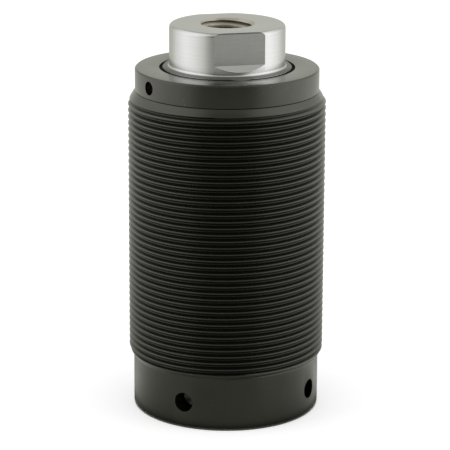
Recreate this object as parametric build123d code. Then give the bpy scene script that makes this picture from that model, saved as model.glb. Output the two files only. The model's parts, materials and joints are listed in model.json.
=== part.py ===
from build123d import *
import math
import os

# Threaded body cylinder: a small single-acting hydraulic cylinder that a spring returns.
# Its body is threaded along its length, and a gland screwed into the top guides the rod.
# Millimetres. +Z is the cylinder's axis, the base rests on z = 0 and the front looks to -Y.

# Body: the wall is the metal between the gland's thread and the root of the outside thread
body_wall = 2.2525
base_land_step = 1.1125
base_land_height = 12.8
body_top_step = 1.5125
lead_chamfer_angle = 30.0
body_thread_pitch = 1.5875
body_thread_depth = 0.94
thread_flank_angle = 30.0
turns_per_groove = 2
base_edge_chamfer = 0.3
joint_edge_chamfer = 0.16
base_thickness = 13.6
bore_floor_radius = 0.8

# Oil port in the middle of the base
port_tap_dia = 9.9
port_depth = 9.6
port_mouth_dia = 12.4
feed_dia = 4.0
drill_point_angle = 118.0

# Pin spanner holes in the base land, by angle from the front towards +X
spanner_hole_dia = 4.76
spanner_hole_depth = 5.0
spanner_hole_height = 6.5
spanner_hole_count = 4
spanner_hole_angle = -26.5

# Gland
gland_flange_step = 0.15
gland_flange_height = 5.55
gland_edge_chamfer = 0.35
gland_thread_step = 1.1
gland_thread_length = 11.0
gland_relief_height = 2.2
gland_relief_depth = 1.55
skirt_wall = 1.0
thread_clearance = 0.02
spigot_clearance = 0.06
rod_passage_clearance = 0.3

# Breather: a drilled hole in the flange, a filter in it and a passage to the spring chamber
breather_dia = 3.3
breather_height_below_top = 2.8
breather_angle = -56.2
breather_filter_length = 1.2
breather_filter_gap = 0.65
vent_dia = 1.2
vent_wall = 0.3

# Rod
rod_dia = 31.0
rod_edge_chamfer = 0.35
shoulder_above_gland = 0.15
neck_step = 1.57
neck_height = 10.55
neck_fillet = 1.0
neck_top_radius = 0.95
wrench_flat_depth = 1.43
wrench_flat_length = 7.75
wrench_flat_angle = 13.5
wrench_flat_runout = 3.5
tap_dia = 10.8
tap_depth = 20.0
tap_mouth_dia = 13.2
spigot_dia = 18.0
rod_thread_dia = 16.0
rod_thread_length = 6.2

# Piston
stroke = 19.05
piston_length = 16.4
piston_rest_gap = 0.1
piston_clearance = 0.08
piston_edge_chamfer = 1.1
piston_fit = 0.02
nut_pocket_dia = 27.0
nut_pocket_depth = 6.6
nut_width = 20.0
nut_height = 4.8
nut_chamfer = 0.5
nut_insert_height = 1.6
nut_insert_wall = 1.0
nut_insert_lip = 0.3
washer_height = 0.8
washer_dia = 24.0
static_groove_height = 2.0
static_groove_depth = 1.35
static_ring_height = 6.4

# Piston seal, its energizer, its backup ring and the wear ring
running_clearance = 0.03
ring_end_gap = 0.06
ring_back_gap = 0.3
seal_groove_height = 5.8
seal_groove_depth = 4.2
seal_groove_offset = 4.0
seal_height = 4.1
seal_lip_depth = 2.4
seal_lip_width = 1.2
energizer_section = 1.5
wear_groove_height = 4.0
wear_groove_depth = 2.0
wear_groove_offset = 1.4
wear_ring_split = 1.0

# Rod bearings and wiper
bearing_height = 6.0
bearing_wall = 1.17
lower_bearing_offset = 1.5
bearing_spacing = 10.0
bearing_groove_clearance = 0.02
wiper_above_bearing = 2.1
wiper_groove_depth = 1.4
wiper_groove_height = 3.1
wiper_land_height = 0.9
wiper_mouth_gap = 0.8
wiper_lip_recess = 0.35
wiper_lip_height = 1.3

# Return spring and its two washers
spring_room = 2.94
spring_wire_width = 2.0
spring_wire_height = 1.8
spring_turns = 5.0
spring_solid_margin = 0.8
spring_washer_height = 1.0
spring_washer_clearance = 0.3
seat_clearance = 0.02

# How far a cut reaches past the face that it opens
cut_overshoot = 1.0

# Places that follow from the sizes above
rod_r = rod_dia / 2
neck_r = rod_r - neck_step
wiper_groove_r = rod_r + wiper_groove_depth
skirt_bore_r = rod_r + spring_room
skirt_r = skirt_bore_r + skirt_wall
bore_r = skirt_r + spigot_clearance
gland_thread_r = bore_r + gland_thread_step
gland_hole_r = gland_thread_r + thread_clearance
thread_r = gland_hole_r + body_wall + body_thread_depth
land_r = thread_r - base_land_step
top_r = thread_r - body_top_step
flange_r = top_r - gland_flange_step
floor_z = base_thickness
piston_bottom_z = floor_z + piston_rest_gap
piston_top_z = piston_bottom_z + piston_length
piston_r = bore_r - piston_clearance
skirt_bottom_z = piston_top_z + stroke
spring_solid_height = spring_turns * spring_wire_height + spring_solid_margin
skirt_depth = spring_solid_height + 2 * spring_washer_height
spring_seat_z = skirt_bottom_z + skirt_depth
lower_bearing_z = spring_seat_z + lower_bearing_offset
upper_bearing_z = lower_bearing_z + bearing_spacing
bearing_bottoms = {"lower_rod_bearing": lower_bearing_z, "upper_rod_bearing": upper_bearing_z}
wiper_groove_bottom_z = upper_bearing_z + bearing_height + wiper_above_bearing
wiper_groove_top_z = wiper_groove_bottom_z + wiper_groove_height
flange_top_z = wiper_groove_top_z + wiper_land_height
body_height = flange_top_z - gland_flange_height
rod_top_z = flange_top_z + neck_height
shoulder_z = flange_top_z + shoulder_above_gland
gland_bore_r = rod_r + rod_passage_clearance
gland_thread_top_z = body_height - gland_relief_height
gland_thread_bottom_z = gland_thread_top_z - gland_thread_length
bearing_groove_r = rod_r + running_clearance + bearing_wall
breather_z = flange_top_z - breather_height_below_top
vent_circle_r = wiper_groove_r + vent_wall + vent_dia / 2
nut_pocket_top_z = piston_bottom_z + nut_pocket_depth
seal_groove_z = piston_bottom_z + seal_groove_offset
wear_groove_z = piston_top_z - wear_groove_offset - wear_groove_height


def revolve_profile(points):
    """A solid turned about Z from (radius, height) points."""
    face = make_face(Polyline(*[(r, 0, z) for r, z in points], close=True))
    return revolve(face, Axis.Z)


def ring(inner_r, outer_r, bottom_z, height):
    """A plain ring about Z."""
    corners = [(inner_r, bottom_z), (outer_r, bottom_z)]
    corners += [(outer_r, bottom_z + height), (inner_r, bottom_z + height)]
    return revolve_profile(corners)


def o_ring(mean_r, section_dia, middle_z):
    """A rubber ring about Z, pressed flat where it touches its groove, so eight-sided in section."""
    octagon = RegularPolygon(section_dia / 2, 8, major_radius=False, rotation=22.5)
    return revolve(Plane.XZ * Pos(mean_r, middle_z) * octagon, Axis.Z)


def front_angle(degrees):
    """The angle about Z of a direction given from the front towards +X."""
    return degrees - 90


def radial_drill(outer_r, depth, dia, height, degrees):
    """A drilled hole that points at the axis, cut in from outside outer_r."""
    start = outer_r + dia
    length = depth + dia
    hole = Cylinder(dia / 2, length, rotation=(0, 90, 0))
    middle = Pos(start - length / 2, 0, height)
    return Rot(0, 0, front_angle(degrees)) * middle * hole


def drill_tip(dia):
    """How deep a drill's point reaches past its full diameter."""
    return dia / 2 / math.tan(math.radians(drill_point_angle / 2))


def body_outline():
    """The body's outside, with a thread lead chamfer at each end."""
    slope = math.tan(math.radians(lead_chamfer_angle))
    low_z = base_land_height + (thread_r - land_r) / slope
    high_z = body_height - (thread_r - top_r) / slope
    outline = [(land_r, base_land_height), (thread_r, low_z)]
    outline += thread_grooves(low_z, high_z)
    cone_foot_z = body_height - joint_edge_chamfer
    return outline + [(thread_r, high_z), (top_r, cone_foot_z), (top_r - joint_edge_chamfer, body_height)]


def thread_grooves(low_z, high_z):
    """Every second groove of the outside thread, in the thread's own section but as rings."""
    half_width = body_thread_depth * math.tan(math.radians(thread_flank_angle))
    spacing = turns_per_groove * body_thread_pitch
    count = int((high_z - low_z - 2 * half_width) / spacing)
    first_z = (low_z + high_z - (count - 1) * spacing) / 2
    points = []
    for index in range(count):
        middle_z = first_z + index * spacing
        points.append((thread_r, middle_z - half_width))
        points.append((thread_r - body_thread_depth, middle_z))
        points.append((thread_r, middle_z + half_width))
    return points


def threaded_body():
    """The closed body: base with its port, bore, and the gland's thread at the top."""
    outside = revolve_profile([(0, 0), (land_r, 0)] + body_outline() + [(0, body_height)])
    base_edge = outside.edges().filter_by(GeomType.CIRCLE).sort_by(Axis.Z)[0]
    outside = chamfer(base_edge, base_edge_chamfer)
    inside = revolve_profile([
        (0, floor_z),
        (bore_r, floor_z),
        (bore_r, gland_thread_bottom_z - skirt_wall),
        (gland_hole_r, gland_thread_bottom_z - skirt_wall + gland_hole_r - bore_r),
        (gland_hole_r, body_height + cut_overshoot),
        (0, body_height + cut_overshoot),
    ])
    floor_edge = inside.edges().filter_by(GeomType.CIRCLE).sort_by(Axis.Z)[0]
    body = outside - fillet(floor_edge, bore_floor_radius) - oil_port()
    for index in range(spanner_hole_count):
        angle = spanner_hole_angle + index * 360 / spanner_hole_count
        body -= radial_drill(land_r, spanner_hole_depth, spanner_hole_dia, spanner_hole_height, angle)
    return body


def oil_port():
    """The tapped port with its coned mouth, and the feed drilling up to the bore."""
    port_r = port_tap_dia / 2
    mouth_r = port_mouth_dia / 2
    feed_r = feed_dia / 2
    tip = drill_tip(port_tap_dia) - drill_tip(feed_dia)
    return revolve_profile([
        (0, -cut_overshoot),
        (mouth_r, -cut_overshoot),
        (mouth_r, 0),
        (port_r, mouth_r - port_r),
        (port_r, port_depth),
        (feed_r, port_depth + tip),
        (feed_r, floor_z + cut_overshoot),
        (0, floor_z + cut_overshoot),
    ])


def gland_head():
    """The gland: flange, thread, bearing and wiper grooves, and the skirt that stops the piston."""
    relief_r = gland_thread_r - gland_relief_depth
    mouth_r = rod_r + wiper_mouth_gap
    profile = [
        (skirt_bore_r, skirt_bottom_z),
        (skirt_r, skirt_bottom_z),
        (skirt_r, gland_thread_bottom_z),
        (gland_thread_r, gland_thread_bottom_z + gland_thread_r - skirt_r),
        (gland_thread_r, gland_thread_top_z - gland_relief_depth),
        (relief_r, gland_thread_top_z),
        (relief_r, body_height),
        (flange_r - joint_edge_chamfer, body_height),
        (flange_r, body_height + joint_edge_chamfer),
        (flange_r, flange_top_z - gland_edge_chamfer),
        (flange_r - gland_edge_chamfer, flange_top_z),
        (mouth_r, flange_top_z),
        (mouth_r, wiper_groove_top_z),
        (wiper_groove_r, wiper_groove_top_z),
        (wiper_groove_r, wiper_groove_bottom_z),
        (gland_bore_r, wiper_groove_bottom_z),
    ]
    for bottom_z in reversed(list(bearing_bottoms.values())):
        top_z = bottom_z + bearing_height + ring_end_gap
        profile += [(gland_bore_r, top_z), (bearing_groove_r, top_z)]
        profile += [(bearing_groove_r, bottom_z), (gland_bore_r, bottom_z)]
    profile += [(gland_bore_r, spring_seat_z), (skirt_bore_r, spring_seat_z)]
    gland = revolve_profile(profile)
    breather_depth = flange_r - vent_circle_r
    gland -= radial_drill(flange_r, breather_depth, breather_dia, breather_z, breather_angle)
    vent_length = breather_z - spring_seat_z + cut_overshoot
    vent = Cylinder(vent_dia / 2, vent_length)
    vent_place = Pos(vent_circle_r, 0, breather_z - vent_length / 2)
    return gland - Rot(0, 0, front_angle(breather_angle)) * vent_place * vent


def breather_filter():
    """A sintered plug in the breather hole, just outside the vent."""
    plug = Cylinder(breather_dia / 2 - seat_clearance, breather_filter_length, rotation=(0, 90, 0))
    inner_r = vent_circle_r + breather_filter_gap
    place = Pos(inner_r + breather_filter_length / 2, 0, breather_z)
    return Rot(0, 0, front_angle(breather_angle)) * place * plug


def gland_o_ring():
    """The ring between the gland's relief and the body's counterbore."""
    inner_r = gland_thread_r - gland_relief_depth
    section = min(gland_hole_r - inner_r, gland_relief_height) - 2 * seat_clearance
    return o_ring((inner_r + gland_hole_r) / 2, section, body_height - gland_relief_height / 2)


def rod_bearing(bottom_z):
    """A split guide band in its groove in the gland."""
    inner_r = rod_r + running_clearance
    outer_r = bearing_groove_r - bearing_groove_clearance
    band = ring(inner_r, outer_r, bottom_z + ring_end_gap / 2, bearing_height)
    return band - split_cut(outer_r, bottom_z, bearing_height)


def split_cut(outer_r, bottom_z, height):
    """The slanted gap of a split ring."""
    cutter = Box(2 * outer_r, wear_ring_split, 3 * height, rotation=(45, 0, 0))
    return Pos(-outer_r, 0, bottom_z + height / 2) * cutter


def rod_wiper():
    """The wiper: a heel in its groove and a lip that leans on the rod."""
    heel_inner_r = gland_bore_r + seat_clearance
    heel_outer_r = wiper_groove_r - seat_clearance
    bottom_z = wiper_groove_bottom_z + ring_end_gap / 2
    heel_top_z = wiper_groove_top_z - ring_end_gap / 2
    lip_top_z = flange_top_z - wiper_lip_recess
    lip_outer_r = rod_r + wiper_mouth_gap - seat_clearance
    return revolve_profile([
        (heel_inner_r, bottom_z),
        (heel_outer_r, bottom_z),
        (heel_outer_r, heel_top_z),
        (lip_outer_r, heel_top_z),
        (lip_outer_r, lip_top_z),
        (rod_r + running_clearance, lip_top_z),
        (heel_inner_r, lip_top_z - wiper_lip_height),
    ])


def piston_rod():
    """The rod: piston spigot, guided length, and the necked end with its tapped hole and flats."""
    spigot_r = spigot_dia / 2
    thread_outer_r = rod_thread_dia / 2
    tap_r = tap_dia / 2
    mouth_r = tap_mouth_dia / 2
    thread_end_z = nut_pocket_top_z - rod_thread_length
    ring_z = piston_bottom_z + static_ring_height + static_groove_height
    groove_r = spigot_r - static_groove_depth
    end_chamfer = rod_edge_chamfer * 2
    outside = revolve_profile([
        (0, thread_end_z),
        (thread_outer_r - end_chamfer, thread_end_z),
        (thread_outer_r, thread_end_z + end_chamfer),
        (thread_outer_r, nut_pocket_top_z),
        (spigot_r, nut_pocket_top_z),
        (spigot_r, ring_z),
        (groove_r, ring_z),
        (groove_r, ring_z + static_groove_height),
        (spigot_r, ring_z + static_groove_height),
        (spigot_r, piston_top_z),
        (rod_r, piston_top_z),
        (rod_r, shoulder_z - rod_edge_chamfer),
        (rod_r - rod_edge_chamfer, shoulder_z),
        (neck_r, shoulder_z),
        (neck_r, rod_top_z),
        (0, rod_top_z),
    ])
    circles = outside.edges().filter_by(GeomType.CIRCLE)
    neck_edges = [edge for edge in circles if math.isclose(edge.radius, neck_r)]
    neck_root, neck_rim = ShapeList(neck_edges).sort_by(Axis.Z)
    outside = fillet(neck_root, neck_fillet)
    rim = outside.edges().filter_by(GeomType.CIRCLE).sort_by(Axis.Z)[-1]
    outside = fillet(rim, neck_top_radius)
    hole = revolve_profile([
        (0, rod_top_z + cut_overshoot),
        (mouth_r, rod_top_z + cut_overshoot),
        (mouth_r, rod_top_z),
        (tap_r, rod_top_z - (mouth_r - tap_r)),
        (tap_r, rod_top_z - tap_depth),
        (0, rod_top_z - tap_depth - drill_tip(tap_dia)),
    ])
    return outside - hole - wrench_flats()


def wrench_flats():
    """The two opposite cuts for a wrench, each with a sloping end at the bottom."""
    flat_x = neck_r - wrench_flat_depth
    bottom_z = rod_top_z - wrench_flat_length
    open_z = rod_top_z + cut_overshoot
    outline = Polyline(
        (flat_x, 0, open_z),
        (flat_x, 0, bottom_z),
        (flat_x + wrench_flat_runout, 0, bottom_z - wrench_flat_runout),
        (flat_x + wrench_flat_runout, 0, open_z),
        close=True,
    )
    cut = extrude(make_face(outline), neck_r, both=True)
    facing = front_angle(wrench_flat_angle)
    return Rot(0, 0, facing) * cut + Rot(0, 0, facing + 180) * cut


def piston():
    """The piston: seal and wear ring grooves outside, nut pocket below, spigot bore through it."""
    groove_r = piston_r - seal_groove_depth
    wear_r = piston_r - wear_groove_depth
    bore = spigot_dia / 2 + piston_fit
    pocket_r = nut_pocket_dia / 2
    return revolve_profile([
        (pocket_r, piston_bottom_z),
        (piston_r - piston_edge_chamfer, piston_bottom_z),
        (piston_r, piston_bottom_z + piston_edge_chamfer),
        (piston_r, seal_groove_z),
        (groove_r, seal_groove_z),
        (groove_r, seal_groove_z + seal_groove_height),
        (piston_r, seal_groove_z + seal_groove_height),
        (piston_r, wear_groove_z),
        (wear_r, wear_groove_z),
        (wear_r, wear_groove_z + wear_groove_height),
        (piston_r, wear_groove_z + wear_groove_height),
        (piston_r, piston_top_z),
        (bore, piston_top_z),
        (bore, nut_pocket_top_z),
        (pocket_r, nut_pocket_top_z),
    ])


def piston_static_o_ring():
    """The ring that seals the piston on the rod's spigot."""
    section = static_groove_depth - 2 * seat_clearance
    middle_z = piston_bottom_z + static_ring_height + static_groove_height * 1.5
    return o_ring(spigot_dia / 2 - static_groove_depth / 2, section, middle_z)


def nut_washer():
    """The washer between the nut and the piston."""
    inner_r = rod_thread_dia / 2 + piston_fit
    return ring(inner_r, washer_dia / 2, nut_pocket_top_z - washer_height, washer_height)


def piston_nut():
    """The hexagon nut that holds the piston on the rod."""
    middle_z = nut_pocket_top_z - washer_height - nut_height / 2
    hexagon = RegularPolygon(nut_width / 2, 6, major_radius=False)
    nut = Pos(0, 0, -nut_height / 2) * extrude(hexagon, nut_height)
    corner_r = nut_width / 2 / math.cos(math.radians(30))
    half = nut_height / 2
    rounding = revolve_profile([
        (0, -half),
        (corner_r - nut_chamfer * 2, -half),
        (corner_r, nut_chamfer - half),
        (corner_r, half),
        (0, half),
    ])
    hole = Cylinder(rod_thread_dia / 2 + piston_fit, 2 * nut_height)
    return Pos(0, 0, middle_z) * ((nut & rounding) - hole) - nut_insert(0)


def nut_insert(clearance):
    """The ring in the nut's lower end that grips the thread, or the groove it sits in."""
    inner_r = rod_thread_dia / 2 + piston_fit
    outer_r = inner_r + nut_insert_wall - clearance
    bottom_z = nut_pocket_top_z - washer_height - nut_height + nut_insert_lip + clearance
    return ring(inner_r, outer_r, bottom_z, nut_insert_height - 2 * clearance)


def seal_inner_r():
    """Where the rings in the piston's seal groove start, clear of the groove's floor."""
    return piston_r - seal_groove_depth + ring_back_gap


def piston_seal():
    """The lipped seal, open downwards to the oil."""
    outer_r = bore_r - running_clearance
    inner_r = seal_inner_r()
    bottom_z = seal_groove_z + ring_end_gap
    lip_top_z = bottom_z + seal_lip_depth
    return revolve_profile([
        (inner_r, bottom_z),
        (inner_r + seal_lip_width, bottom_z),
        (inner_r + seal_lip_width, lip_top_z),
        (outer_r - seal_lip_width, lip_top_z),
        (outer_r - seal_lip_width, bottom_z),
        (outer_r, bottom_z),
        (outer_r, bottom_z + seal_height),
        (inner_r, bottom_z + seal_height),
    ])


def seal_energizer():
    """The ring that spreads the seal's lips."""
    inner_r = seal_inner_r() + seal_lip_width
    outer_r = bore_r - running_clearance - seal_lip_width
    section = min(energizer_section, outer_r - inner_r - 2 * seat_clearance)
    middle_z = seal_groove_z + ring_end_gap + seal_lip_depth - energizer_section / 2
    return o_ring((inner_r + outer_r) / 2, section, middle_z)


def seal_backup_ring():
    """The hard ring above the seal, against the pressure."""
    bottom_z = seal_groove_z + 2 * ring_end_gap + seal_height
    height = seal_groove_height - seal_height - 3 * ring_end_gap
    return ring(seal_inner_r(), bore_r - running_clearance, bottom_z, height)


def piston_wear_ring():
    """The split guide ring in the piston's upper groove."""
    inner_r = piston_r - wear_groove_depth + ring_back_gap
    outer_r = bore_r - running_clearance
    height = wear_groove_height - 2 * ring_end_gap
    bottom_z = wear_groove_z + ring_end_gap
    return ring(inner_r, outer_r, bottom_z, height) - split_cut(outer_r, bottom_z, height)


def spring_washer(bottom_z):
    """One of the two washers that the spring bears on."""
    inner_r = rod_r + spring_washer_clearance
    outer_r = skirt_bore_r - spring_washer_clearance
    return ring(inner_r, outer_r, bottom_z, spring_washer_height)


def return_spring():
    """The return spring, coiled from flat wire between the washers, with ground ends."""
    low_z = piston_top_z + spring_washer_height + 2 * seat_clearance
    high_z = spring_seat_z - spring_washer_height - 2 * seat_clearance
    mean_r = (rod_r + skirt_bore_r) / 2
    height = high_z - low_z
    coil = Pos(0, 0, low_z) * Helix(height / spring_turns, height, mean_r)
    start = Plane(origin=coil @ 0, x_dir=(1, 0, 0), z_dir=coil % 0)
    section = start * Rectangle(spring_wire_width, spring_wire_height)
    wire = sweep(section, path=coil, is_frenet=True)
    between = Cylinder(bore_r, height, align=(Align.CENTER, Align.CENTER, Align.MIN))
    return wire & (Pos(0, 0, low_z) * between)


nodes = {
    "threaded_body": threaded_body(),
    "gland_head": gland_head(),
    "gland_o_ring": gland_o_ring(),
    "breather_filter": breather_filter(),
    "rod_wiper": rod_wiper(),
    "piston_rod": piston_rod(),
    "piston": piston(),
    "piston_static_o_ring": piston_static_o_ring(),
    "nut_washer": nut_washer(),
    "piston_nut": piston_nut(),
    "nut_locking_insert": nut_insert(seat_clearance),
    "piston_seal": piston_seal(),
    "seal_energizer": seal_energizer(),
    "seal_backup_ring": seal_backup_ring(),
    "piston_wear_ring": piston_wear_ring(),
    "lower_spring_washer": spring_washer(piston_top_z + seat_clearance),
    "upper_spring_washer": spring_washer(spring_seat_z - spring_washer_height - seat_clearance),
    "return_spring": return_spring(),
}
for name, bottom_z in bearing_bottoms.items():
    nodes[name] = rod_bearing(bottom_z)

os.makedirs("parts", exist_ok=True)
for name, shape in nodes.items():
    export_step(shape, f"parts/{name}.step")
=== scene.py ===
import json
import math

import bmesh
import bpy
from mathutils import Matrix, Vector


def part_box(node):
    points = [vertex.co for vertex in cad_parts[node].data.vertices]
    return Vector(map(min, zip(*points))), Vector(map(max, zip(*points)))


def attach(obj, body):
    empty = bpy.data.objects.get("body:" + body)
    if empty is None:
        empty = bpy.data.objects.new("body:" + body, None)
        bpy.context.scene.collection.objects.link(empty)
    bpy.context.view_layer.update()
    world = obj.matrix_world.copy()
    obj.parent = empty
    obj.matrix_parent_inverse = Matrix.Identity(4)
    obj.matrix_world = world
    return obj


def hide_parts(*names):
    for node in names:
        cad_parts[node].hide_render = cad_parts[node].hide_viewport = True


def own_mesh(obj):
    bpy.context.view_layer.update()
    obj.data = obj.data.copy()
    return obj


# Threaded body cylinder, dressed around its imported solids.
# Lengths are written in millimetres and turned into metres by MM, apart from the studio's, which are in
# metres. The front looks to -Y.

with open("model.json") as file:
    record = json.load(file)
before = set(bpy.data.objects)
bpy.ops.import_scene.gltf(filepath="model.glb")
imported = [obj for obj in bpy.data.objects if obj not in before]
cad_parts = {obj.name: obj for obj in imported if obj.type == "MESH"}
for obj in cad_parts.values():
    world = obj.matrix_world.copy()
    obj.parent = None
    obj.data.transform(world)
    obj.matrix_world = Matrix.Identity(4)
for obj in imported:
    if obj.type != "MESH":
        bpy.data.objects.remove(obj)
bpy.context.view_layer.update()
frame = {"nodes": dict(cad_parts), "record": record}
MM = 0.001

# Camera, from a fit to the photograph: focal length and principal point in pixels of its frame
IMAGE_SIZE = 450
FOCAL_PIXELS = 2343.2
CENTRE_OFFSET = (1.4, 0.5)
CAMERA_DISTANCE = 550.6
CAMERA_HEIGHT = 200.7
CAMERA_PITCH = 0.2757
CAMERA_ROLL = 0.0048
CAMERA_NEAR = 0.01
SENSOR_WIDTH = 36.0


def top(node):
    """A node's highest z, in millimetres."""
    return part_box(node)[1].z / MM


def bottom(node):
    """A node's lowest z, in millimetres."""
    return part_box(node)[0].z / MM


def radius(node):
    """A round node's outer radius, in millimetres."""
    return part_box(node)[1].x / MM


# Body, from the frame and the sizes that the frame's boxes don't give
BODY_R = radius("threaded_body")
BODY_TOP = top("threaded_body")
LAND_R = 22.7
LAND_HEIGHT = 12.8
TOP_R = 22.3
LEAD_SLOPE = math.tan(math.radians(30))
BASE_CHAMFER = 0.3
BORE_R = 19.5
FLOOR_Z = 13.6
GLAND_HOLE_R = 20.62
GLAND_THREAD_END = 64.8

# Outside thread: a crest's height on the left side (-X), and how far below the top the thread's stretch ends
THREAD_PITCH = 1.5875
THREAD_DEPTH = 0.94
THREAD_LEFT_CREST_Z = 77.229
THREAD_END_DROP = 0.9

# Shares of a thread's pitch that are flat at the crest and at the root, outside and inside
OUTSIDE_FLATS = (0.125, 0.17)
INSIDE_FLATS = (0.25, 0.125)

# Oil port in the base
PORT_R = 4.95
PORT_MOUTH_R = 6.2
PORT_DEPTH = 9.6
PORT_PITCH = 1.27
PORT_THREAD_DEPTH = 0.6
FEED_R = 2.0

# Pin spanner holes, by angle from the front towards +X
SPANNER_HOLE_R = 2.38
SPANNER_HOLE_DEPTH = 5.0
SPANNER_HOLE_Z = 6.5
SPANNER_HOLE_ANGLE = -26.5
SPANNER_HOLES = 4

# Gland and breather
GLAND_TOP = top("gland_head")
GLAND_BOTTOM = bottom("gland_head")
FLANGE_R = radius("gland_head")
FLANGE_CHAMFER = 0.35
JOINT_CHAMFER = 0.16
GLAND_BORE_R = 15.8
GLAND_THREAD_R = 20.6
GLAND_THREAD_LENGTH = 11.0
GLAND_RELIEF_R = 19.05
GLAND_RELIEF_HEIGHT = 2.2
BEARING_GROOVE_R = 16.7
SKIRT_R = 19.44
SKIRT_BORE_R = 18.44
SPRING_SEAT_Z = 60.95
BREATHER_R = 1.65
BREATHER_Z = GLAND_TOP - 2.8
BREATHER_ANGLE = -56.2
BREATHER_DEPTH = 4.35

# Wiper and its groove: how far the throat and the lip's two edges lie below its top, and how wide the lip's
# slopes are
WIPER_MOUTH_R = 16.3
WIPER_LAND = 0.9
WIPER_GROOVE_R = 16.9
WIPER_TOP = top("rod_wiper")
WIPER_BOTTOM = bottom("rod_wiper")
WIPER_THROAT_DROP = 1.3
WIPER_INNER_DROP = 0.25
WIPER_OUTER_DROP = 0.15
WIPER_LIP_SLOPE = 0.2

# Rod. The ledge at the neck's foot stands a little higher than the solid's and its fillet is smaller, as the
# photograph shows them.
ROD_R = radius("piston_rod")
ROD_TOP = top("piston_rod")
ROD_BOTTOM = bottom("piston_rod")
ROD_END_CHAMFER = 0.7
SHOULDER_Z = GLAND_TOP + 0.4
SHOULDER_CHAMFER = 0.35
NECK_R = 13.93
NECK_FILLET = 0.55
NECK_TOP_RADIUS = 0.95

# Wrench flats, with a steep bevel at their top edge and a sloping end
FLAT_X = 12.5
FLAT_LENGTH = 7.75
FLAT_RUNOUT = 3.5
FLAT_ANGLE = 13.5
FLAT_BEVEL = 0.09
FLAT_BEVEL_HEIGHT = 0.32

# Tapped hole in the rod's end, with a coned mouth that the thread runs out in
TAP_R = 5.4
TAP_MOUTH_R = 6.6
TAP_MOUTH_EDGE = 0.15
TAP_MOUTH_LAND = 0.5
TAP_DEPTH = 20.0
TAP_PITCH = 25.4 / 13
TAP_THREAD_DEPTH = 0.9
TAP_START = 0.3

# Rod's end inside the piston
PISTON_TOP = top("piston")
PISTON_BOTTOM = bottom("piston")
POCKET_TOP = PISTON_BOTTOM + 6.6
SPIGOT_R = 9.0
STATIC_GROOVE_BOTTOM = PISTON_BOTTOM + 8.4
STATIC_GROOVE_TOP = PISTON_BOTTOM + 10.4
STATIC_GROOVE_R = SPIGOT_R - 1.35
ROD_THREAD_R = 8.0

# Return spring, of flat wire
SPRING_TURNS = 5
SPRING_WIRE_WIDTH = 2.0
SPRING_WIRE_HEIGHT = 1.8
SPRING_WIRE_CORNER = 0.25
SPRING_STEPS_PER_TURN = 64

# Gaps drawn round a seated ring, and at the wiper
RING_GAP = 0.03
WIPER_GAP = 0.02

# How far turned edges are rounded: the body and the gland, the rod, and the finest ones
EDGE_ROUND = 0.12
ROD_EDGE_ROUND = 0.1
FINE_EDGE_ROUND = 0.08

# A drill's point for its radius, and how far drills and mills reach past the face that they cut
DRILL_POINT = 0.6
DRILL_OVERSHOOT = 2.0
MILL_OVERSHOOT = 1.0

# Facets: columns round a turned piece and round a drill, and steps of a rounded corner and of an arc
COLUMNS = 192
DRILL_COLUMNS = 64
ROUND_STEPS = 4
ARC_STEPS = 8

# A corner that turns less than this, in radians, isn't rounded, and a rounding takes at most this share of
# the sides beside it
STRAIGHT_TURN = 0.05
ROUND_SHARE = 0.45

# Points this near to each other are merged, in metres
MERGE_DISTANCE = 1e-7

# Depths in the outside thread where its painted shade starts to darken it and is darkest
GROOVE_SHADE = (0.12, 0.6)
# How far the painted shade in the threads' roots is kept from the edges that it ends at
PAINTED_SHADE_MARGIN = 0.1

# The world's strength for soft light; what the camera sees of it is 1
WORLD_LIGHT = 0.8
# How much paler the camera sees the floor than its own light makes it
FLOOR_LIFT = 0.35
FLOOR_HALF = 3.0

# A soft lamp on each side: the right one's place, the point that both face, their size and their power
LAMP_PLACE = (1.1, -0.25, 0.5)
LAMP_TARGET = (0, 0, 0.05)
LAMP_SIZE = 0.9
LAMP_POWER = 3.0

# The tent's outline, as (radius, height): the floor sheet from under the object outwards, the wall, the roof
TENT_PATH = [(0.0229, 0.0005), (0.03, 0.0005), (0.05, 0.0005), (0.1, 0.0005), (0.2, 0.0005), (0.4, 0.0005),
             (1.4, 0.0005), (1.56, 0.06), (1.6, 0.3), (1.6, 1.2), (1.2, 1.9), (0.0, 2.2)]
TENT_COLUMNS = 48
# Heights between which the floor sheet goes over into the wall, and slopes between which the wall goes over
# into the roof
TENT_WALL_FOOT = (0.001, 0.06)
TENT_ROOF_EDGE = (0.45, 0.8)
# What the tent shows to gloss, as (place, level) stops, paints the reflections of a studio. The walls and
# the floor go by direction, from the front (0) to the back (1), the floor also by its distance in half
# metres, which darkens it close to the object as a painted shadow, and the roof by how far to the side it
# lies. The right side is brighter by TENT_RIGHT, and the tint goes by the level.
TENT_PEAK = 1.25
TENT_WALLS = [(0.0, 0.07), (0.05, 0.07), (0.1, 0.35), (0.16, 0.8), (0.3, 1.1), (0.5, 1.15), (0.72, 0.88),
              (0.9, 0.52), (1.0, 0.57)]
TENT_FLOOR = [(0.0, 0.33), (0.055, 0.34), (0.095, 0.44), (0.14, 0.66), (0.23, 0.88), (0.33, 1.03),
              (0.5, 1.13), (0.72, 0.88), (0.85, 0.62), (0.93, 0.52), (1.0, 0.57)]
TENT_PAINTED_SHADOW = [(0.0455, 0.03), (0.05, 0.28), (0.06, 0.4), (0.1, 0.42), (0.2, 0.5), (0.4, 0.7), (0.7, 1.2)]
TENT_ROOF = [(0.0, 0.42), (0.28, 0.46), (0.42, 0.8), (0.6, 1.1)]
TENT_TINT = [(0.5, (0.985, 1.0, 0.89)), (0.8, (1.0, 1.0, 0.97))]
TENT_RIGHT = 0.12


def front_angle(degrees):
    """The angle about Z, in radians, of a direction given from the front towards +X."""
    return math.radians(degrees - 90)


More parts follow.
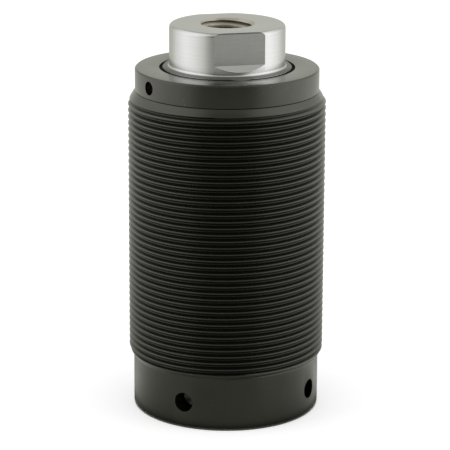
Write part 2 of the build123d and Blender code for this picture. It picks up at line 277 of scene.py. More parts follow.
def rounded(points, r):
    """A profile of (radius, height) points with each inner corner rounded to r, or less where it is short."""
    result = [points[0]]
    for before, corner, after in zip(points, points[1:], points[2:]):
        a, b, c = Vector(before), Vector(corner), Vector(after)
        to_a, to_c = (a - b), (c - b)
        turn = math.pi - to_a.angle(to_c)
        if turn < STRAIGHT_TURN:
            result.append(corner)
            continue
        cut_back = min(r * math.tan(turn / 2), to_a.length * ROUND_SHARE, to_c.length * ROUND_SHARE)
        start, end = b + to_a.normalized() * cut_back, b + to_c.normalized() * cut_back
        for step in range(ROUND_STEPS + 1):
            t = step / ROUND_STEPS
            point = start * (1 - t) ** 2 + b * 2 * t * (1 - t) + end * t * t
            result.append((point.x, point.y))
    result.append(points[-1])
    return result


def arc(centre, r, start, end):
    """Points of an arc in the profile's plane, from start to end degrees."""
    points = []
    for step in range(ARC_STEPS + 1):
        a = math.radians(start + (end - start) * step / ARC_STEPS)
        points.append((centre[0] + r * math.cos(a), centre[1] + r * math.sin(a)))
    return points


def rings(points, columns):
    """Rings of vertices about Z through (radius, height) points, and the faces between them."""
    verts = []
    for r, z in points:
        for column in range(columns):
            angle = 2 * math.pi * column / columns
            verts.append((r * math.cos(angle), r * math.sin(angle), z))
    faces = []
    for row in range(len(points) - 1):
        for column in range(columns):
            a = row * columns + column
            b = row * columns + (column + 1) % columns
            faces.append((a, b, b + columns, a + columns))
    return verts, faces


def link_mesh(name, verts, faces):
    """A new object in the scene, from vertices in metres."""
    mesh = bpy.data.meshes.new(name)
    mesh.from_pydata(verts, [], faces)
    thing = bpy.data.objects.new(name, mesh)
    bpy.context.scene.collection.objects.link(thing)
    return thing


def closed_mesh(name, verts, faces):
    """A new object from vertices in millimetres, with doubles merged and the faces looking outwards."""
    thing = link_mesh(name, [(x * MM, y * MM, z * MM) for x, y, z in verts], faces)
    work = bmesh.new()
    work.from_mesh(thing.data)
    bmesh.ops.remove_doubles(work, verts=work.verts, dist=MERGE_DISTANCE)
    bmesh.ops.dissolve_degenerate(work, edges=work.edges, dist=MERGE_DISTANCE / 10)
    loose = [v for v in work.verts if not v.link_faces]
    bmesh.ops.delete(work, geom=loose, context="VERTS")
    bmesh.ops.recalc_face_normals(work, faces=work.faces)
    work.to_mesh(thing.data)
    work.free()
    return thing


class Turned:
    """A mesh about Z, made of turned and threaded stretches whose end rings meet."""

    def __init__(self):
        self.verts = []
        self.faces = []

    def lathe(self, points):
        """A turned stretch through (radius, height) points."""
        first = len(self.verts)
        verts, faces = rings(points, COLUMNS)
        self.verts += verts
        self.faces += [tuple(first + index for index in face) for face in faces]

    def thread(self, low, high, pitch, offset, shape, outer):
        """A right-handed helical stretch from low to high. shape lists (share of a turn, depth), and outer
        gives the radius at a height for a depth. offset is the height of a crest at angle 0."""
        first = len(self.verts)
        per_turn = len(shape)
        turn = math.floor((low - offset) / pitch) - 2
        rows = (math.ceil((high - low) / pitch) + 4) * per_turn
        for row in range(rows + 1):
            share, depth = shape[row % per_turn]
            base = offset + (turn + row // per_turn + share) * pitch
            for column in range(COLUMNS):
                angle = 2 * math.pi * column / COLUMNS
                z = base + pitch * column / COLUMNS
                inside = low < z < high
                z = min(max(z, low), high)
                r = outer(z, depth) if inside else outer(z, 0)
                self.verts.append((r * math.cos(angle), r * math.sin(angle), z))
        for row in range(rows):
            for column in range(COLUMNS):
                a = first + row * COLUMNS + column
                if column < COLUMNS - 1:
                    b = a + 1
                    self.faces.append((a, b, b + COLUMNS, a + COLUMNS))
                elif row + per_turn < rows:
                    b = first + (row + per_turn) * COLUMNS
                    self.faces.append((a, b, b + COLUMNS, a + COLUMNS))

    def build(self, name):
        """The finished object, with the stretches joined."""
        return closed_mesh(name, self.verts, self.faces)


def sharpen(thing, degrees=32):
    """Smooth shading, with a crease where faces meet at more than this angle."""
    thing.data.shade_smooth()
    thing.data.set_sharp_from_angle(angle=math.radians(degrees))


def cut(thing, cutter):
    """Cuts one closed mesh out of another, and removes the cutter."""
    step = thing.modifiers.new("cut", "BOOLEAN")
    step.operation = "DIFFERENCE"
    step.solver = "EXACT"
    step.object = cutter
    graph = bpy.context.evaluated_depsgraph_get()
    mesh = bpy.data.meshes.new_from_object(thing.evaluated_get(graph))
    thing.modifiers.clear()
    old = thing.data
    thing.data = mesh
    bpy.data.meshes.remove(old)
    bpy.data.objects.remove(cutter)


def drill(r, depth, surface_r, z, degrees):
    """A radial drill with a pointed end, as a closed mesh."""
    profile = [(0, DRILL_OVERSHOOT), (r, DRILL_OVERSHOOT), (r, -depth), (0, -depth - r * DRILL_POINT)]
    verts, faces = rings(profile, DRILL_COLUMNS)
    thing = closed_mesh("drill", verts, faces)
    place = Matrix.Rotation(front_angle(degrees), 4, "Z") @ Matrix.Translation((surface_r * MM, 0, z * MM))
    thing.data.transform(place @ Matrix.Rotation(math.radians(90), 4, "Y"))
    return thing


def thread_shape(depth, flats):
    """A thread's section over one turn, as (share of a turn, depth): half a turn from the crest down the
    flank to the root, and the same back up, with the crest's edge and the root a little rounded."""
    crest_flat, root_flat = flats
    edge = crest_flat / 2
    foot = 0.5 - root_flat / 2
    down = [(0.0, 0.0), (edge * 0.75, 0.0), (edge * 1.25, depth * 0.05)]
    down += [(edge + (foot - edge) * t, depth * t) for t in (0.35, 0.65, 0.92)]
    down += [(foot + 0.035, depth * 0.99), (0.5, depth)]
    return down + [(1 - share, d) for share, d in reversed(down[1:-1])]


def body_envelope(z):
    """The body's radius before the thread is cut."""
    lower = LAND_R + max(z - LAND_HEIGHT, 0) * LEAD_SLOPE
    upper = TOP_R + (BODY_TOP - z) * LEAD_SLOPE
    return min(BODY_R, lower, upper)


def make_body():
    """The threaded body with its land, spanner holes, port and bore."""
    part = Turned()
    thread_high = BODY_TOP - THREAD_END_DROP
    crest_at_zero = THREAD_LEFT_CREST_Z + THREAD_PITCH / 2

    def outer(z, depth):
        return min(body_envelope(z), BODY_R - depth)

    part.thread(LAND_HEIGHT, thread_high, THREAD_PITCH, crest_at_zero,
                thread_shape(THREAD_DEPTH, OUTSIDE_FLATS), outer)
    part.lathe(rounded([
        (LAND_R, LAND_HEIGHT),
        (LAND_R, BASE_CHAMFER),
        (LAND_R - BASE_CHAMFER, 0),
        (PORT_MOUTH_R, 0),
        (PORT_R, PORT_MOUTH_R - PORT_R),
    ], EDGE_ROUND))
    port_low, port_high = PORT_MOUTH_R - PORT_R, PORT_DEPTH - PORT_PITCH
    part.thread(port_low, port_high, PORT_PITCH, 0, thread_shape(PORT_THREAD_DEPTH, INSIDE_FLATS),
                lambda z, depth: PORT_R + depth)
    point = (PORT_R - FEED_R) * DRILL_POINT
    part.lathe([(PORT_R, port_high), (PORT_R, PORT_DEPTH), (FEED_R, PORT_DEPTH + point), (FEED_R, FLOOR_Z)])
    part.lathe(rounded([
        (FEED_R, FLOOR_Z),
        (BORE_R, FLOOR_Z),
        (BORE_R, GLAND_THREAD_END),
        (GLAND_HOLE_R, GLAND_THREAD_END + GLAND_HOLE_R - BORE_R),
        (GLAND_HOLE_R, BODY_TOP),
        (TOP_R - JOINT_CHAMFER, BODY_TOP),
        (TOP_R, BODY_TOP - JOINT_CHAMFER),
        (body_envelope(thread_high), thread_high),
    ], EDGE_ROUND))
    body = part.build("body_shell")
    for index in range(SPANNER_HOLES):
        angle = SPANNER_HOLE_ANGLE + index * 360 / SPANNER_HOLES
        cut(body, drill(SPANNER_HOLE_R, SPANNER_HOLE_DEPTH, LAND_R, SPANNER_HOLE_Z, angle))
    sharpen(body)
    return body


def make_gland():
    """The gland screwed into the body's top. Its thread stays plain, because nothing shows it."""
    part = Turned()
    thread_top = BODY_TOP - GLAND_RELIEF_HEIGHT
    thread_bottom = thread_top - GLAND_THREAD_LENGTH
    profile = [
        (SKIRT_BORE_R, GLAND_BOTTOM),
        (SKIRT_R, GLAND_BOTTOM),
        (SKIRT_R, thread_bottom),
        (GLAND_THREAD_R, thread_bottom + GLAND_THREAD_R - SKIRT_R),
        (GLAND_THREAD_R, thread_top - (GLAND_THREAD_R - GLAND_RELIEF_R)),
        (GLAND_RELIEF_R, thread_top),
        (GLAND_RELIEF_R, BODY_TOP),
        (FLANGE_R - JOINT_CHAMFER, BODY_TOP),
        (FLANGE_R, BODY_TOP + JOINT_CHAMFER),
        (FLANGE_R, GLAND_TOP - FLANGE_CHAMFER),
        (FLANGE_R - FLANGE_CHAMFER, GLAND_TOP),
        (WIPER_MOUTH_R, GLAND_TOP),
        (WIPER_MOUTH_R, GLAND_TOP - WIPER_LAND),
        (WIPER_GROOVE_R, GLAND_TOP - WIPER_LAND),
        (WIPER_GROOVE_R, WIPER_BOTTOM - RING_GAP),
        (GLAND_BORE_R, WIPER_BOTTOM - RING_GAP),
    ]
    for bearing in ("upper_rod_bearing", "lower_rod_bearing"):
        low, high = bottom(bearing) - RING_GAP, top(bearing) + RING_GAP
        profile += [(GLAND_BORE_R, high), (BEARING_GROOVE_R, high)]
        profile += [(BEARING_GROOVE_R, low), (GLAND_BORE_R, low)]
    profile += [(GLAND_BORE_R, SPRING_SEAT_Z), (SKIRT_BORE_R, SPRING_SEAT_Z), (SKIRT_BORE_R, GLAND_BOTTOM)]
    part.lathe(rounded(profile, EDGE_ROUND))
    gland = part.build("gland_ring")
    cut(gland, drill(BREATHER_R, BREATHER_DEPTH, FLANGE_R, BREATHER_Z, BREATHER_ANGLE))
    sharpen(gland)
    return gland


def make_wiper():
    """The rod wiper, with its lip leaning on the rod."""
    part = Turned()
    heel_top = GLAND_TOP - WIPER_LAND - RING_GAP
    lip_inner = ROD_R + RING_GAP
    lip_outer = WIPER_MOUTH_R - WIPER_GAP
    part.lathe(rounded([
        (lip_inner, WIPER_TOP - WIPER_INNER_DROP),
        (GLAND_BORE_R + WIPER_GAP, WIPER_TOP - WIPER_THROAT_DROP),
        (GLAND_BORE_R + WIPER_GAP, WIPER_BOTTOM),
        (WIPER_GROOVE_R - WIPER_GAP, WIPER_BOTTOM),
        (WIPER_GROOVE_R - WIPER_GAP, heel_top),
        (lip_outer, heel_top),
        (lip_outer, WIPER_TOP - WIPER_OUTER_DROP),
        (lip_outer - WIPER_LIP_SLOPE, WIPER_TOP),
        (lip_inner + WIPER_LIP_SLOPE, WIPER_TOP),
        (lip_inner, WIPER_TOP - WIPER_INNER_DROP),
    ], FINE_EDGE_ROUND))
    wiper = part.build("wiper_ring")
    sharpen(wiper)
    return wiper


def flat_cutter(facing):
    """The wedge that a wrench flat, its bevel and its sloping end leave."""
    floor_z = ROD_TOP - FLAT_LENGTH
    lean = FLAT_BEVEL / FLAT_BEVEL_HEIGHT
    outline = [
        (FLAT_X - FLAT_BEVEL - lean * MILL_OVERSHOOT, ROD_TOP + MILL_OVERSHOOT),
        (FLAT_X, ROD_TOP - FLAT_BEVEL_HEIGHT),
        (FLAT_X, floor_z),
        (FLAT_X + FLAT_RUNOUT, floor_z - FLAT_RUNOUT),
        (FLAT_X + FLAT_RUNOUT, ROD_TOP + MILL_OVERSHOOT),
    ]
    verts = [(x, y * NECK_R, z) for y in (-1, 1) for x, z in outline]
    count = len(outline)
    faces = [tuple(range(count)), tuple(range(2 * count - 1, count - 1, -1))]
    faces += [(i, i + count, (i + 1) % count + count, (i + 1) % count) for i in range(count)]
    thing = closed_mesh("flat", verts, faces)
    thing.data.transform(Matrix.Rotation(front_angle(facing), 4, "Z"))
    return thing


def make_rod():
    """The rod, with its neck, wrench flats and tapped hole."""
    part = Turned()
    fillet_centre = (NECK_R + NECK_FILLET, SHOULDER_Z + NECK_FILLET)
    rim_centre = (NECK_R - NECK_TOP_RADIUS, ROD_TOP - NECK_TOP_RADIUS)
    profile = rounded([
        (0, ROD_BOTTOM),
        (ROD_THREAD_R - ROD_END_CHAMFER, ROD_BOTTOM),
        (ROD_THREAD_R, ROD_BOTTOM + ROD_END_CHAMFER),
        (ROD_THREAD_R, POCKET_TOP),
        (SPIGOT_R, POCKET_TOP),
        (SPIGOT_R, STATIC_GROOVE_BOTTOM),
        (STATIC_GROOVE_R, STATIC_GROOVE_BOTTOM),
        (STATIC_GROOVE_R, STATIC_GROOVE_TOP),
        (SPIGOT_R, STATIC_GROOVE_TOP),
        (SPIGOT_R, PISTON_TOP),
        (ROD_R, PISTON_TOP),
        (ROD_R, SHOULDER_Z - SHOULDER_CHAMFER),
        (ROD_R - SHOULDER_CHAMFER, SHOULDER_Z),
        (NECK_R + NECK_FILLET, SHOULDER_Z),
    ], ROD_EDGE_ROUND)
    profile += arc(fillet_centre, NECK_FILLET, 270, 180)[1:]
    profile += arc(rim_centre, NECK_TOP_RADIUS, 0, 90)
    mouth_low = ROD_TOP - TAP_MOUTH_EDGE
    profile += rounded([
        (rim_centre[0] - TAP_MOUTH_LAND, ROD_TOP),
        (TAP_MOUTH_R, ROD_TOP),
        (TAP_MOUTH_R - TAP_MOUTH_EDGE, mouth_low),
    ], FINE_EDGE_ROUND)
    part.lathe(profile)
    thread_low = ROD_TOP - TAP_DEPTH + TAP_PITCH

    def tapped(z, depth):
        return max(TAP_R + depth, TAP_MOUTH_R - (ROD_TOP - z))

    part.thread(thread_low, mouth_low, TAP_PITCH, ROD_TOP - TAP_START,
                thread_shape(TAP_THREAD_DEPTH, INSIDE_FLATS), tapped)
    tap_bottom = ROD_TOP - TAP_DEPTH
    part.lathe([(TAP_R, thread_low), (TAP_R, tap_bottom), (0, tap_bottom - TAP_R * DRILL_POINT)])
    rod = part.build("rod_shaft")
    for facing in (FLAT_ANGLE, FLAT_ANGLE + 180):
        cut(rod, flat_cutter(facing))
    sharpen(rod, 25)
    return rod


def make_spring():
    """The return spring, with its end turns ground square to the washers."""
    low, high = bottom("return_spring"), top("return_spring")
    mean_r = (ROD_R + SKIRT_BORE_R) / 2
    half_width, half_height = SPRING_WIRE_WIDTH / 2, SPRING_WIRE_HEIGHT / 2
    section = []
    for side_x, side_z in ((1, -1), (1, 1), (-1, 1), (-1, -1)):
        ends = [(half_width * side_x, (half_height - SPRING_WIRE_CORNER) * side_z),
                ((half_width - SPRING_WIRE_CORNER) * side_x, half_height * side_z)]
        section += ends if side_x * side_z > 0 else ends[::-1]
    steps = SPRING_TURNS * SPRING_STEPS_PER_TURN
    verts, faces = [], []
    for step in range(steps + 1):
        angle = 2 * math.pi * SPRING_TURNS * step / steps
        centre_z = low + (high - low) * step / steps
        for across, up in section:
            z = min(max(centre_z + up, low), high)
            r = mean_r + across
            verts.append((r * math.cos(angle), r * math.sin(angle), z))
    count = len(section)
    for step in range(steps):
        for index in range(count):
            a, b = step * count + index, step * count + (index + 1) % count
            faces.append((a, b, b + count, a + count))
    faces += [tuple(range(count)), tuple(range(steps * count + count - 1, steps * count - 1, -1))]
    spring = closed_mesh("spring_coil", verts, faces)
    sharpen(spring)
    return spring


class Shader:
    """A node material in the making."""

    def __init__(self, name, **settings):
        self.material = bpy.data.materials.new(name)
        self.material.use_nodes = True
        self.tree = self.material.node_tree
        self.surface = self.tree.nodes["Principled BSDF"]
        for socket, value in settings.items():
            self.surface.inputs[socket.replace("_", " ")].default_value = value

    def feed(self, socket, value):
        """Gives an input a value, or the link that it comes by."""
        if isinstance(value, bpy.types.NodeSocket):
            self.tree.links.new(value, socket)
        else:
            socket.default_value = value

    def finish(self, colour, rough):
        """Gives the surface its colour and its roughness."""
        self.feed(self.surface.inputs["Base Color"], colour)
        self.feed(self.surface.inputs["Roughness"], rough)

    def node(self, kind, inputs=None, **settings):
        """A new node, with its settings and what its inputs take."""
        made = self.tree.nodes.new("ShaderNode" + kind)
        for key, value in settings.items():
            setattr(made, key, value)
        for key, value in (inputs or {}).items():
            self.feed(made.inputs[key], value)
        return made

    def math(self, operation, *values):
        return self.node("Math", dict(enumerate(values)), operation=operation).outputs[0]

    def place(self):
        """The point on the object, in metres, in the row frame at rest."""
        return self.node("TexCoord").outputs["Object"]

    def along(self, vector, axis):
        """A vector's X, Y or Z."""
        return self.node("SeparateXYZ", {0: vector}).outputs[axis]

    def length(self, vector):
        return self.node("VectorMath", {0: vector}, operation="LENGTH").outputs["Value"]

    def stretched(self, vector, scale):
        """The point with each axis scaled by its own factor."""
        return self.node("VectorMath", {0: vector, 1: scale}, operation="MULTIPLY").outputs[0]

    def radius(self, vector):
        """Distance from the Z axis, in millimetres."""
        return self.length(self.stretched(vector, (1 / MM, 1 / MM, 0)))

    def height(self, vector):
        """Height above the base, in millimetres."""
        return self.math("DIVIDE", self.along(vector, "Z"), MM)

    def rise(self, value, low, high):
        """0 up to low, rising evenly to 1 at high."""
        return self.node("MapRange", {"Value": value, "From Min": low, "From Max": high}).outputs[0]

    def noise(self, vector, scale, detail=2.0, roughness=0.5):
        inputs = {"Vector": vector, "Scale": scale, "Detail": detail, "Roughness": roughness}
        return self.node("TexNoise", inputs).outputs["Fac"]

    def ramp(self, value, stops):
        """A value mapped through (place, level) stops."""
        made = self.node("ValToRGB", {"Fac": value})
        ramp = made.color_ramp
        while len(ramp.elements) < len(stops):
            ramp.elements.new(0.5)
        for element, (place, level) in zip(ramp.elements, stops):
            element.position = place
            colour = level if isinstance(level, tuple) else (level, level, level)
            element.color = (*colour, 1)
        return made.outputs["Color"]

    def blend(self, share, a, b):
        """A number that goes from a to b."""
        return self.node("Mix", {"Factor": share, "A": a, "B": b}).outputs[0]

    def mix(self, share, a, b):
        """A colour that goes from a to b, through the node's colour sockets."""
        made = self.node("Mix", {"Factor": share}, data_type="RGBA")
        for socket, colour in ((6, a), (7, b)):
            linked = isinstance(colour, bpy.types.NodeSocket)
            self.feed(made.inputs[socket], colour if linked else (*colour, 1))
        return made.outputs[2]

    def bump(self, height, distance):
        """Relief of this many metres."""
        made = self.node("Bump", {"Height": height, "Distance": distance})
        self.feed(self.surface.inputs["Normal"], made.outputs[0])


def turned_lines(shader, place, scale):
    """Fine lines round the axis, as a lathe tool leaves them."""
    r = shader.math("MULTIPLY", shader.radius(place), MM)
    line = shader.node("CombineXYZ", {"X": r, "Z": shader.along(place, "Z")}).outputs[0]
    return shader.noise(line, scale, 3.0, 0.6)


def groove_depth(shader, place):
    """0 on the body's outside, rising to 1 in the thread's grooves."""
    z = shader.height(place)
    above_land = shader.math("MAXIMUM", shader.math("SUBTRACT", z, LAND_HEIGHT), 0.0)
    lower = shader.math("MULTIPLY_ADD", above_land, LEAD_SLOPE, LAND_R)
    upper = shader.math("MULTIPLY_ADD", shader.math("SUBTRACT", BODY_TOP, z), LEAD_SLOPE, TOP_R)
    uncut = shader.math("MINIMUM", shader.math("MINIMUM", lower, upper), BODY_R)
    depth = shader.math("SUBTRACT", uncut, shader.radius(place))
    above = shader.math("GREATER_THAN", z, LAND_HEIGHT - 2 * PAINTED_SHADE_MARGIN)
    return shader.math("MULTIPLY", shader.rise(depth, *GROOVE_SHADE), above)


def black_oxide(name, threaded=False):
    """Blackened steel: dark, satin, a little mottled, with fine turned lines and a few pale worn specks. On
    the threaded body the grooves carry painted shade: darker, rougher and with less coat than the crests."""
    shader = Shader(name, Metallic=1.0, Coat_Weight=1.0, Coat_IOR=1.5, Coat_Roughness=0.2)
    place = shader.place()
    mottle = shader.noise(place, 260.0, 4.0, 0.6)
    base = shader.mix(mottle, (0.034, 0.034, 0.026), (0.05, 0.05, 0.038))
    specks = shader.ramp(shader.noise(place, 1500.0), [(0.7, 0.0), (0.76, 1.0)])
    colour = shader.mix(shader.math("MULTIPLY", specks, 0.5), base, (0.16, 0.155, 0.14))
    rough = shader.math("MULTIPLY_ADD", mottle, 0.12, 0.22)
    if threaded:
        # Painted shade in the thread's grooves: a darker colour, more roughness and less coat towards the
        # roots
        painted_shade_depth = groove_depth(shader, place)
        colour = shader.mix(painted_shade_depth, colour, (0.03, 0.03, 0.025))
        rough = shader.math("MULTIPLY_ADD", painted_shade_depth, 0.2, rough)
        shader.feed(shader.surface.inputs["Coat Weight"], shader.math("MULTIPLY_ADD", painted_shade_depth, -0.5, 1.0))
    shader.finish(colour, rough)
    shader.bump(turned_lines(shader, place, 9000.0), 0.000006)
    return shader.material


def ground_steel():
    """The rod: bright steel, ground round its axis, with turned lines under the grinding."""
    shader = Shader("ground_steel", Metallic=1.0)
    place = shader.place()
    fine = turned_lines(shader, place, 14000.0)
    coarse = turned_lines(shader, place, 2500.0)
    cloud = shader.noise(place, 180.0, 3.0)
    tone = shader.math("MULTIPLY_ADD", coarse, 0.7, shader.math("MULTIPLY", cloud, 0.3))
    rough = shader.math("MULTIPLY_ADD", fine, 0.12, shader.math("MULTIPLY_ADD", coarse, 0.08, 0.09))
    shader.finish(shader.mix(tone, (0.61, 0.61, 0.62), (0.78, 0.78, 0.79)), rough)
    shader.bump(fine, 0.000004)
    return shader.material


def milled_steel():
    """The wrench flats: bright steel with straight milling lines across them and faint ones crossing."""
    shader = Shader("milled_steel", Metallic=1.0)
    place = shader.place()
    lines = shader.noise(shader.stretched(place, (0.03, 0.03, 1.0)), 5000.0, 4.0, 0.6)
    hatch = shader.noise(shader.stretched(place, (1.0, 1.0, 0.12)), 2600.0, 3.0)
    tone = shader.math("MULTIPLY_ADD", lines, 0.75, shader.math("MULTIPLY", hatch, 0.25))
    rough = shader.math("MULTIPLY_ADD", lines, 0.16, 0.24)
    shader.finish(shader.mix(tone, (0.5, 0.5, 0.51), (0.78, 0.78, 0.79)), rough)
    shader.bump(tone, 0.000006)
    return shader.material


def tapped_steel():
    """The tapped hole: pale and brownish, as oil leaves it, with painted shade that darkens the thread's
    roots below the coned mouth."""
    shader = Shader("tapped_steel", Metallic=0.7)
    place = shader.place()
    cloud = shader.noise(place, 500.0, 4.0)
    painted_shade_depth = shader.rise(shader.radius(place), TAP_R + TAP_THREAD_DEPTH / 3, TAP_R + TAP_THREAD_DEPTH)
    cone = shader.math("SUBTRACT", TAP_MOUTH_R - ROD_TOP + PAINTED_SHADE_MARGIN, shader.radius(place))
    above_cone = shader.math("ADD", cone, shader.height(place))
    # Painted shade: the thread's roots below the coned mouth are darker
    root = shader.math("MULTIPLY", painted_shade_depth, shader.math("LESS_THAN", above_cone, 0.0))
    crest = shader.mix(cloud, (0.4, 0.37, 0.31), (0.62, 0.58, 0.5))
    rough = shader.math("MULTIPLY_ADD", cloud, 0.2, 0.34)
    shader.finish(shader.mix(root, crest, (0.07, 0.06, 0.045)), rough)
    shader.bump(cloud, 0.00001)
    return shader.material


def shoulder_steel():
    """The ledge round the neck's foot: turned steel, duller than the ground rod."""
    shader = Shader("shoulder_steel", Metallic=1.0)
    lines = turned_lines(shader, shader.place(), 6000.0)
    colour = shader.mix(lines, (0.12, 0.12, 0.115), (0.22, 0.22, 0.21))
    shader.finish(colour, shader.math("MULTIPLY_ADD", lines, 0.15, 0.2))
    shader.bump(lines, 0.000004)
    return shader.material


def plain_finish(name, low, high, metallic, roughness, scale, depth, specular=0.5):
    """A mottled finish: two colours, the least roughness, the mottle's scale and the relief's depth in
    metres, as turned lines on metal and as the mottle elsewhere."""
    shader = Shader(name, Metallic=metallic, Specular_IOR_Level=specular)
    place = shader.place()
    cloud = shader.noise(place, scale, 4.0)
    rough = shader.math("ADD", shader.math("MULTIPLY", cloud, 0.15), roughness)
    shader.finish(shader.mix(cloud, low, high), rough)
    shader.bump(turned_lines(shader, place, scale * 10) if metallic else cloud, depth)
    return shader.material


def dress_inner_nodes(finishes):
    """Gives each carried-over CAD node the finish of its material slot."""
    slots = {s["node"]: s["material_slot"] for s in frame["record"]["subparts"]}
    for node, thing in frame["nodes"].items():
        finish = finishes[slots[node]]
        if thing.material_slots:
            for index in range(len(thing.material_slots)):
                thing.material_slots[index].material = finish
        else:
            thing.data.materials.append(finish)


def finish_rod(rod, ground):
    """Gives the rod its ground finish, and the flats, the tapped hole and the ledge their own."""
    for material in (ground, milled_steel(), tapped_steel(), shoulder_steel()):
        rod.data.materials.append(material)
    milled, tapped, shoulder = 1, 2, 3
    level = 0.98
    square_on = 0.999
    flat_reach = FLAT_X + 0.01
    ledge_low, ledge_high = SHOULDER_Z - SHOULDER_CHAMFER, SHOULDER_Z + 0.05
    ledge_inner = NECK_R + NECK_FILLET * 0.6
    facing = Vector((math.cos(front_angle(FLAT_ANGLE)), math.sin(front_angle(FLAT_ANGLE)), 0))
    for face in rod.data.polygons:
        r = math.hypot(face.center.x, face.center.y) / MM
        z = face.center.z / MM
        out = abs(face.center.dot(facing)) / MM
        if z > SHOULDER_Z and r < TAP_MOUTH_R and face.normal.z < level:
            face.material_index = tapped
        elif z > SHOULDER_Z and out < flat_reach and abs(face.normal.dot(facing)) > square_on:
            face.material_index = milled
        elif ledge_low < z < ledge_high and r > ledge_inner:
            face.material_index = shoulder


def make_floor():
    """A wide pale floor."""
    half = FLOOR_HALF
    corners = [(-half, -half, 0), (half, -half, 0), (half, half, 0), (-half, half, 0)]
    floor = link_mesh("floor", corners, [(0, 1, 2, 3)])
    shader = Shader("floor_white", Roughness=0.9, Base_Color=(0.93, 0.93, 0.93, 1), Specular_IOR_Level=0.0)
    seen = shader.node("LightPath").outputs["Is Camera Ray"]
    shader.feed(shader.surface.inputs["Emission Color"], (1, 1, 1, 1))
    shader.feed(shader.surface.inputs["Emission Strength"], shader.math("MULTIPLY", seen, FLOOR_LIFT))
    floor.data.materials.append(shader.material)


def make_painted_reflections():
    """A glowing tent that only gloss sees, which paints the reflections of a studio: a dark gap round the
    camera, bright sides, a duller back and roof, and a floor sheet with a painted shadow close to the object."""
    tent = link_mesh("tent", *rings(TENT_PATH, TENT_COLUMNS))
    shader = Shader("tent")
    place = shader.place()
    x, y, z = (shader.along(place, axis) for axis in "XYZ")
    r = shader.length(shader.stretched(place, (1, 1, 0)))
    reach = shader.length(place)
    turn = shader.math("MULTIPLY_ADD", shader.math("DIVIDE", y, r), 0.5, 0.5)

    def tent_ramp(value, stops):
        return shader.ramp(value, [(place, level / TENT_PEAK) for place, level in stops])

    half_metres = shader.math("MULTIPLY", r, 2.0)
    # Painted shadow: the floor sheet is darker close to the object
    floor = shader.math("MINIMUM", tent_ramp(turn, TENT_FLOOR), tent_ramp(half_metres, TENT_PAINTED_SHADOW))
    sides = shader.blend(shader.rise(z, *TENT_WALL_FOOT), floor, tent_ramp(turn, TENT_WALLS))
    rightward = shader.math("MAXIMUM", shader.math("DIVIDE", x, r), 0.0)
    sides = shader.math("MULTIPLY", sides, shader.math("MULTIPLY_ADD", rightward, TENT_RIGHT, 1.0))
    sideways = shader.math("DIVIDE", shader.math("ABSOLUTE", x), reach)
    overhead = shader.rise(shader.math("DIVIDE", z, reach), *TENT_ROOF_EDGE)
    level = shader.blend(overhead, sides, tent_ramp(sideways, TENT_ROOF))
    strength = shader.math("MULTIPLY", level, TENT_PEAK)
    glow = shader.node("Emission", {"Color": shader.ramp(level, TENT_TINT), "Strength": strength})
    shader.tree.links.new(glow.outputs[0], shader.tree.nodes["Material Output"].inputs["Surface"])
    tent.data.materials.append(shader.material)
    # Seen only in reflections: it paints the studio's reflections and lights nothing
    tent.visible_camera = False
    tent.visible_diffuse = False
    tent.visible_shadow = False
    tent.visible_transmission = False
    tent.visible_volume_scatter = False


def make_world():
    """White for what the camera and gloss see, and a plain level of light."""
    world = bpy.data.worlds.new("studio")
    bpy.context.scene.world = world
    world.use_nodes = True
    tree = world.node_tree
    background = tree.nodes["Background"]
    background.inputs["Color"].default_value = (1, 1, 1, 1)
    path = tree.nodes.new("ShaderNodeLightPath")
    seen = path.outputs["Is Camera Ray"]
    for ray in ("Is Glossy Ray", "Is Transmission Ray"):
        either = tree.nodes.new("ShaderNodeMath")
        either.operation = "MAXIMUM"
        tree.links.new(seen, either.inputs[0])
        tree.links.new(path.outputs[ray], either.inputs[1])
        seen = either.outputs[0]
    level = tree.nodes.new("ShaderNodeMix")
    level.inputs["A"].default_value = WORLD_LIGHT
    level.inputs["B"].default_value = 1.0
    tree.links.new(seen, level.inputs["Factor"])
    tree.links.new(level.outputs[0], background.inputs["Strength"])


def make_lamp(name, side):
    """A soft square lamp beside the object: side is -1 on the left and 1 on the right."""
    lamp = bpy.data.lights.new(name, "AREA")
    lamp.shape = "RECTANGLE"
    lamp.size = lamp.size_y = LAMP_SIZE
    lamp.energy = LAMP_POWER
    place = Vector((side * LAMP_PLACE[0], LAMP_PLACE[1], LAMP_PLACE[2]))
    thing = bpy.data.objects.new(name, lamp)
    thing.location = place
    thing.rotation_euler = (Vector(LAMP_TARGET) - place).to_track_quat("-Z", "Y").to_euler()
    thing.visible_glossy = False
    bpy.context.scene.collection.objects.link(thing)


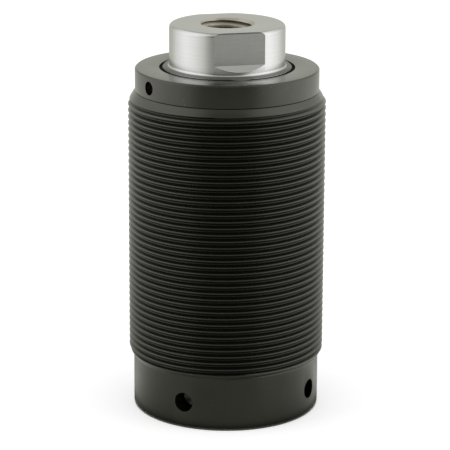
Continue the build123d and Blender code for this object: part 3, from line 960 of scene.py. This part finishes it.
def make_camera():
    """The photograph's view: a long lens, looking down a little."""
    camera = bpy.data.cameras.new("camera")
    camera.sensor_width = SENSOR_WIDTH
    camera.lens = FOCAL_PIXELS / IMAGE_SIZE * camera.sensor_width
    camera.shift_x = -CENTRE_OFFSET[0] / IMAGE_SIZE
    camera.shift_y = CENTRE_OFFSET[1] / IMAGE_SIZE
    camera.clip_start = CAMERA_NEAR
    thing = bpy.data.objects.new("camera", camera)
    tilt = Matrix.Rotation(math.pi / 2 - CAMERA_PITCH, 4, "X") @ Matrix.Rotation(CAMERA_ROLL, 4, "Z")
    thing.matrix_world = Matrix.Translation((0, -CAMERA_DISTANCE * MM, CAMERA_HEIGHT * MM)) @ tilt
    bpy.context.scene.collection.objects.link(thing)
    bpy.context.scene.camera = thing


def stand_for(piece, node, body):
    """Lets a piece of this script stand for a CAD node."""
    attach(piece, body)
    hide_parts(node)


finishes = {
    "black_oxide_steel": black_oxide("black_oxide"),
    "chromed_rod": ground_steel(),
    # Black rubber, darker and less glossy than rubber is: its own black, with painted shade for the gap at
    # the wiper
    "black_rubber": plain_finish("black_rubber", (0.005, 0.005, 0.005), (0.01, 0.01, 0.01),
                                 0.0, 0.7, 800.0, 0.00001, specular=0.15),
    "plain_steel": plain_finish("machined_steel", (0.4, 0.4, 0.41), (0.5, 0.5, 0.5),
                                1.0, 0.3, 700.0, 0.000006),
    "seal_urethane": plain_finish("seal_urethane", (0.32, 0.25, 0.1), (0.38, 0.3, 0.14),
                                  0.0, 0.35, 500.0, 0.00001),
    "bearing_polymer": plain_finish("bearing_polymer", (0.22, 0.16, 0.1), (0.3, 0.22, 0.14),
                                    0.0, 0.55, 1500.0, 0.00002),
    "sintered_bronze": plain_finish("sintered_bronze", (0.16, 0.1, 0.05), (0.4, 0.28, 0.14),
                                    0.6, 0.55, 4000.0, 0.0001),
    "spring_steel": plain_finish("spring_steel", (0.16, 0.16, 0.17), (0.24, 0.24, 0.25),
                                 1.0, 0.35, 900.0, 0.00001),
}
dress_inner_nodes(finishes)

body = make_body()
body.data.materials.append(black_oxide("black_oxide_thread", threaded=True))
stand_for(body, "threaded_body", "cylinder_body")

gland = make_gland()
gland.data.materials.append(finishes["black_oxide_steel"])
stand_for(gland, "gland_head", "cylinder_body")

wiper = make_wiper()
wiper.data.materials.append(finishes["black_rubber"])
stand_for(wiper, "rod_wiper", "cylinder_body")

rod = make_rod()
finish_rod(rod, finishes["chromed_rod"])
stand_for(rod, "piston_rod", "rod_assembly")

spring = make_spring()
spring.data.materials.append(finishes["spring_steel"])
stand_for(spring, "return_spring", "cylinder_body")
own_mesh(spring)

make_floor()
make_world()
make_painted_reflections()
make_lamp("left_softbox", -1)
make_lamp("right_softbox", 1)
make_camera()
bpy.context.scene.view_settings.view_transform = "Standard"
